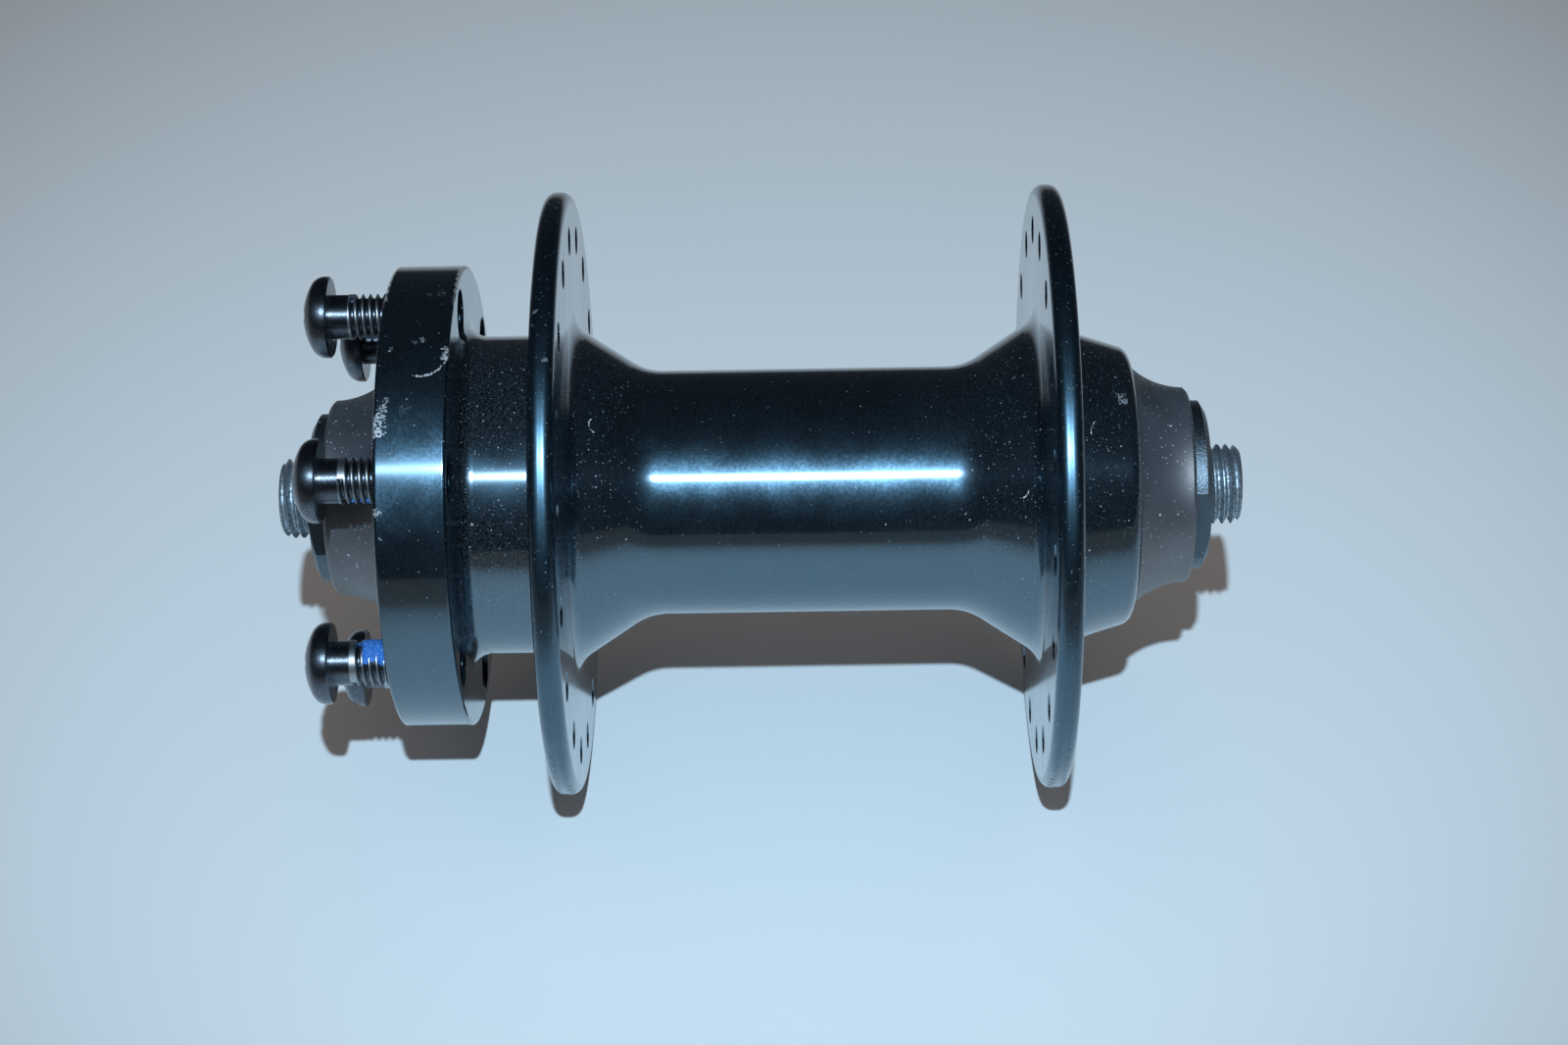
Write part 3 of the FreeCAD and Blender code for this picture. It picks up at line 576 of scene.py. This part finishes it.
def arc_points(start, middle, end, steps):
    """Points of the arc in the plane of Y and Z that runs through three points, both ends included."""
    chord = end - start
    rise = (middle - (start + end) / 2).length
    radius = (chord.length / 2) ** 2 / (2 * rise) + rise / 2
    centre = middle + ((start + end) / 2 - middle).normalized() * radius
    turn = (start - centre).cross(end - centre).normalized()
    step = 2 * math.asin(chord.length / 2 / radius) / steps
    return [centre + Matrix.Rotation(step * i, 3, turn) @ (start - centre) for i in range(steps + 1)]


def boot_mesh(side, boot):
    """Flared boot with bevelled ends, hollow inside, and a groove that grips the collar of the locknut."""
    boot_ends, nut_ends = (
        sorted(abs(corner.y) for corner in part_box(piece + side)) for piece in ("rubber_boot_", "locknut_"))
    mouth, tip = boot_ends
    seat = nut_ends[0]
    mouth -= boot.lip
    mouth_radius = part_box("rubber_boot_" + side)[1].z
    collar_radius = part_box("locknut_" + side)[1].z
    tip_radius = collar_radius + boot.tip_wall
    start = Vector((0, mouth + boot.mouth_edge, mouth_radius))
    end = Vector((0, tip - boot.shoulder, tip_radius))
    inward = Vector((0, start.z - end.z, end.y - start.y)).normalized() * -1
    outside = arc_points(start, (start + end) / 2 + inward * boot.sag, end, FLARE_STEPS)
    shelf = [Vector((0, y, z)) for y, z in (
        (tip, tip_radius - boot.shoulder),
        (tip, collar_radius - boot.grip),
        (seat + boot.groove, collar_radius - boot.grip),
        (seat + boot.groove, collar_radius),
        (seat, collar_radius))]
    inner_middle = (start + end) / 2 + inward * (boot.sag + boot.wall)
    inner_edge = Vector((0, mouth, mouth_radius - boot.wall))
    inside = arc_points(shelf[-1], inner_middle, inner_edge, LINING_STEPS)[1:]
    outline = outside + shelf + inside + [Vector((0, mouth, mouth_radius - boot.mouth_edge))]
    turned = 1 if side == "left" else -1
    mesh = bmesh.new()
    corners = [mesh.verts.new((0, p.y * turned, p.z)) for p in outline]
    edges = [mesh.edges.new(pair) for pair in zip(corners, corners[1:] + corners[:1])]
    bmesh.ops.spin(
        mesh, geom=edges, cent=(0, 0, 0), axis=HUB_LINE, angle=2 * math.pi, steps=TURN_STEPS, use_merge=True)
    return mesh


def thread_lock_mesh(number, clock, start, patch):
    """Crust of thread locker over part of one bolt: a curved slab with an uneven edge and a lumpy skin.

    It starts as a flat square of side 1, whose skin lies at height 1 and whose underside at height 0. The
    number of the bolt shifts the waves, so that no two patches are alike."""
    low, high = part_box("rotor_bolt_%d" % number)
    columns, rows = PATCH_STEPS
    mesh = bmesh.new()
    bmesh.ops.create_grid(mesh, x_segments=columns, y_segments=rows, size=0.5)
    for vert in mesh.verts:
        vert.co.z = 1
    made = bmesh.ops.extrude_face_region(mesh, geom=mesh.faces[:])
    for vert in made["geom"]:
        if isinstance(vert, bmesh.types.BMVert):
            vert.co.z = 0
    for vert in mesh.verts:
        around = vert.co.x + 0.5
        along = vert.co.y + 0.5
        edge = min(around, 1 - around, along, 1 - along)
        ragged = COARSE_WAVE * math.sin(9 * around + number) + FINE_WAVE * math.sin(23 * around + 2 * number)
        sway = COARSE_WAVE * math.sin(7 * along + 3 * number) + FINE_WAVE * math.sin(19 * along)
        length = patch.length * (along + ragged * abs(2 * along - 1))
        angle = math.radians(clock) + patch.arc * (around + sway * abs(2 * around - 1))
        lump = 0.5 + 0.5 * math.sin(17 * around + 5 * along + number) * math.sin(13 * along - 4 * around)
        crown = patch.outer - patch.lump * lump - patch.thin_edge * max(0, 1 - edge / EDGE_SHARE)
        radius = crown if vert.co.z > 0.5 else patch.inner
        vert.co = (-math.cos(angle) * radius, -length, math.sin(angle) * radius)
    line = Vector(((low.x + high.x) / 2, high.y - start * MM, (low.z + high.z) / 2))
    bmesh.ops.translate(mesh, verts=mesh.verts, vec=line)
    return mesh


class HUB_OT_shell(bpy.types.Operator):
    """Finish the hub shell in black anodised aluminium"""
    bl_idname = "hub.shell"
    bl_label = "Hub shell"

    def execute(self, context):
        dress(["hub_shell"], anodised_aluminium(context.scene.hub_finish))
        return {"FINISHED"}


class HUB_OT_axle(bpy.types.Operator):
    """Finish the axle and washers in zinc plated steel and the locknuts in blackened steel"""
    bl_idname = "hub.axle"
    bl_label = "Axle, washers and locknuts"

    def execute(self, context):
        colours = context.scene.hub_finish
        dress(["axle", "washer_left", "washer_right"], zinc_plated_steel(colours))
        dress(["locknut_left", "locknut_right"], blackened_steel(colours))
        return {"FINISHED"}


class HUB_OT_bearings(bpy.types.Operator):
    """Finish the cups, cones and balls, their seals and the dust caps"""
    bl_idname = "hub.bearings"
    bl_label = "Bearings"

    def execute(self, context):
        colours = context.scene.hub_finish
        steel = ground_bearing_steel(colours)
        nickel = nickel_plated_steel(colours)
        rubber = moulded_rubber(colours)
        for side in SIDES:
            dress([piece + side for piece in ("bearing_cup_", "bearing_balls_", "cone_")], steel)
            dress(["dust_cap_" + side], nickel)
            dress(["cone_seal_" + side], rubber)
        return {"FINISHED"}


class HUB_OT_boots(bpy.types.Operator):
    """Model the two flared rubber boots"""
    bl_idname = "hub.boots"
    bl_label = "Rubber boots"

    def execute(self, context):
        rubber = moulded_rubber(context.scene.hub_finish)
        for side in SIDES:
            mesh = boot_mesh(side, context.scene.hub_boot)
            boot = finished_piece("flared_boot_" + side, mesh, rubber, "axle_assembly")
            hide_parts("rubber_boot_" + side)
        return {"FINISHED"}


class HUB_OT_bolts(bpy.types.Operator):
    """Finish the rotor bolts in black oxide"""
    bl_idname = "hub.bolts"
    bl_label = "Rotor bolts"

    def execute(self, context):
        dress(["rotor_bolt_%d" % number for number in LOCKERS], black_oxide_steel(context.scene.hub_finish))
        return {"FINISHED"}


class HUB_OT_thread_locker(bpy.types.Operator):
    """Lay dried thread locker on the rotor bolts"""
    bl_idname = "hub.thread_locker"
    bl_label = "Thread locker"

    def execute(self, context):
        locker = dried_thread_lock(context.scene.hub_finish)
        for number, (clock, start) in LOCKERS.items():
            mesh = thread_lock_mesh(number, clock, start, context.scene.hub_thread_lock)
            finished_piece("thread_lock_%d" % number, mesh, locker, "rotor_bolt_%d" % number)
        return {"FINISHED"}


class HUB_OT_stage(bpy.types.Operator):
    """Set up the table, the lamp, the room and the camera"""
    bl_idname = "hub.stage"
    bl_label = "Stage"

    def execute(self, context):
        scene = context.scene
        scene.view_settings.view_transform = "Standard"
        make_table(scene)
        make_lamp(scene)
        make_room(scene)
        make_camera(scene)
        return {"FINISHED"}


def make_table(scene):
    """Flat table top under the flanges."""
    studio = scene.hub_studio
    mesh = bmesh.new()
    bmesh.ops.create_grid(mesh, x_segments=1, y_segments=1, size=studio.table_size / 2)
    bmesh.ops.translate(mesh, verts=mesh.verts, vec=(0, 0, CAD_BOX[0].z))
    data = bpy.data.meshes.new("table_top")
    mesh.to_mesh(data)
    mesh.free()
    data.materials.append(painted_table(studio))
    table = bpy.data.objects.new("table_top", data)
    scene.collection.objects.link(table)


def make_lamp(scene):
    """Small lamp above the camera, with a cone of light that fades towards its edge."""
    studio = scene.hub_studio
    lamp = bpy.data.lights.new("cold_lamp", "SPOT")
    lamp.shadow_soft_size = studio.lamp_radius
    lamp.spot_size = studio.lamp_cone
    lamp.spot_blend = 1
    lamp.color = studio.lamp[:3]
    lamp.energy = studio.lamp_power
    placed = bpy.data.objects.new("cold_lamp", lamp)
    scene.collection.objects.link(placed)
    away = Vector((-math.cos(studio.lamp_elevation), 0, math.sin(studio.lamp_elevation)))
    placed.location = away * studio.lamp_distance - HUB_LINE * scene.hub_camera.offset
    aim = Vector((studio.lamp_aim, 0, CAD_BOX[0].z))
    placed.rotation_euler = (placed.location - aim).to_track_quat("Z", "Y").to_euler()


def make_room(scene):
    """Dim warm room, darker and blue in glossy reflections, with a pale backdrop for the camera alone."""
    studio = scene.hub_studio
    world = bpy.data.worlds.new("dim_room")
    scene.world = world
    world.use_nodes = True
    tree = world.node_tree
    tree.nodes.clear()
    shown = add_node(tree, "ShaderNodeBackground", {"Color": studio.fill_colour, "Strength": studio.fill})
    for ray, colour, strength in (
            ("Is Glossy Ray", studio.room_colour, studio.room), ("Is Camera Ray", studio.backdrop, 1.0)):
        other = add_node(tree, "ShaderNodeBackground", {"Color": colour, "Strength": strength})
        chosen = add_node(tree, "ShaderNodeLightPath", {}, ray)
        shown = add_node(tree, "ShaderNodeMixShader", {0: chosen, 1: shown, 2: other})
    add_node(tree, "ShaderNodeOutputWorld", {"Surface": shown})


def make_camera(scene):
    """Camera at the place that the photograph was taken from."""
    view = scene.hub_camera
    away = Vector((-math.cos(view.elevation), 0, math.sin(view.elevation)))
    below = Vector((-math.sin(view.elevation), 0, -math.cos(view.elevation)))
    place = away * view.distance - HUB_LINE * view.offset
    target = below * view.aim_down - HUB_LINE * view.aim_side
    back = (place - target).normalized()
    right = (-HUB_LINE + back * HUB_LINE.dot(back)).normalized()
    right = Matrix.Rotation(-view.roll, 3, back) @ right
    lens = bpy.data.cameras.new("photo_camera")
    lens.sensor_width = SENSOR_WIDTH
    lens.sensor_fit = "HORIZONTAL"
    lens.lens = view.lens
    lens.clip_start = NEAREST_VIEW
    camera = bpy.data.objects.new("photo_camera", lens)
    scene.collection.objects.link(camera)
    turned = Matrix((right, back.cross(right), back)).transposed().to_4x4()
    camera.matrix_world = Matrix.Translation(place) @ turned
    scene.camera = camera


class HUB_PT_panel(bpy.types.Panel):
    """Lists the pieces of the hub and their sizes and colours"""
    bl_idname = "HUB_PT_panel"
    bl_label = "Front Hub"
    bl_space_type = "VIEW_3D"
    bl_region_type = "UI"
    bl_category = "Front Hub"

    def draw(self, context):
        for group in GROUPS:
            box = self.layout.box()
            box.label(text=group.replace("_", " "))
            values = getattr(context.scene, group)
            for name in values.bl_rna.properties.keys():
                if name not in ("rna_type", "name"):
                    box.prop(values, name)
        for operator in OPERATORS:
            self.layout.operator(operator.bl_idname)


GROUPS = {
    "hub_camera": HubCamera,
    "hub_studio": HubStudio,
    "hub_finish": HubFinish,
    "hub_boot": HubBoot,
    "hub_thread_lock": HubThreadLock,
}
OPERATORS = (
    HUB_OT_shell,
    HUB_OT_axle,
    HUB_OT_bearings,
    HUB_OT_boots,
    HUB_OT_bolts,
    HUB_OT_thread_locker,
    HUB_OT_stage,
)


def register():
    for name, group in GROUPS.items():
        bpy.utils.register_class(group)
        setattr(bpy.types.Scene, name, bpy.props.PointerProperty(type=group))
    for operator in OPERATORS:
        bpy.utils.register_class(operator)
    bpy.utils.register_class(HUB_PT_panel)


def unregister():
    bpy.utils.unregister_class(HUB_PT_panel)
    for operator in reversed(OPERATORS):
        bpy.utils.unregister_class(operator)
    for name, group in reversed(GROUPS.items()):
        delattr(bpy.types.Scene, name)
        bpy.utils.unregister_class(group)


def main():
    """Builds every piece in order."""
    register()
    for operator in OPERATORS:
        family, action = operator.bl_idname.split(".")
        getattr(getattr(bpy.ops, family), action)()


if __name__ == "__main__":
    main()
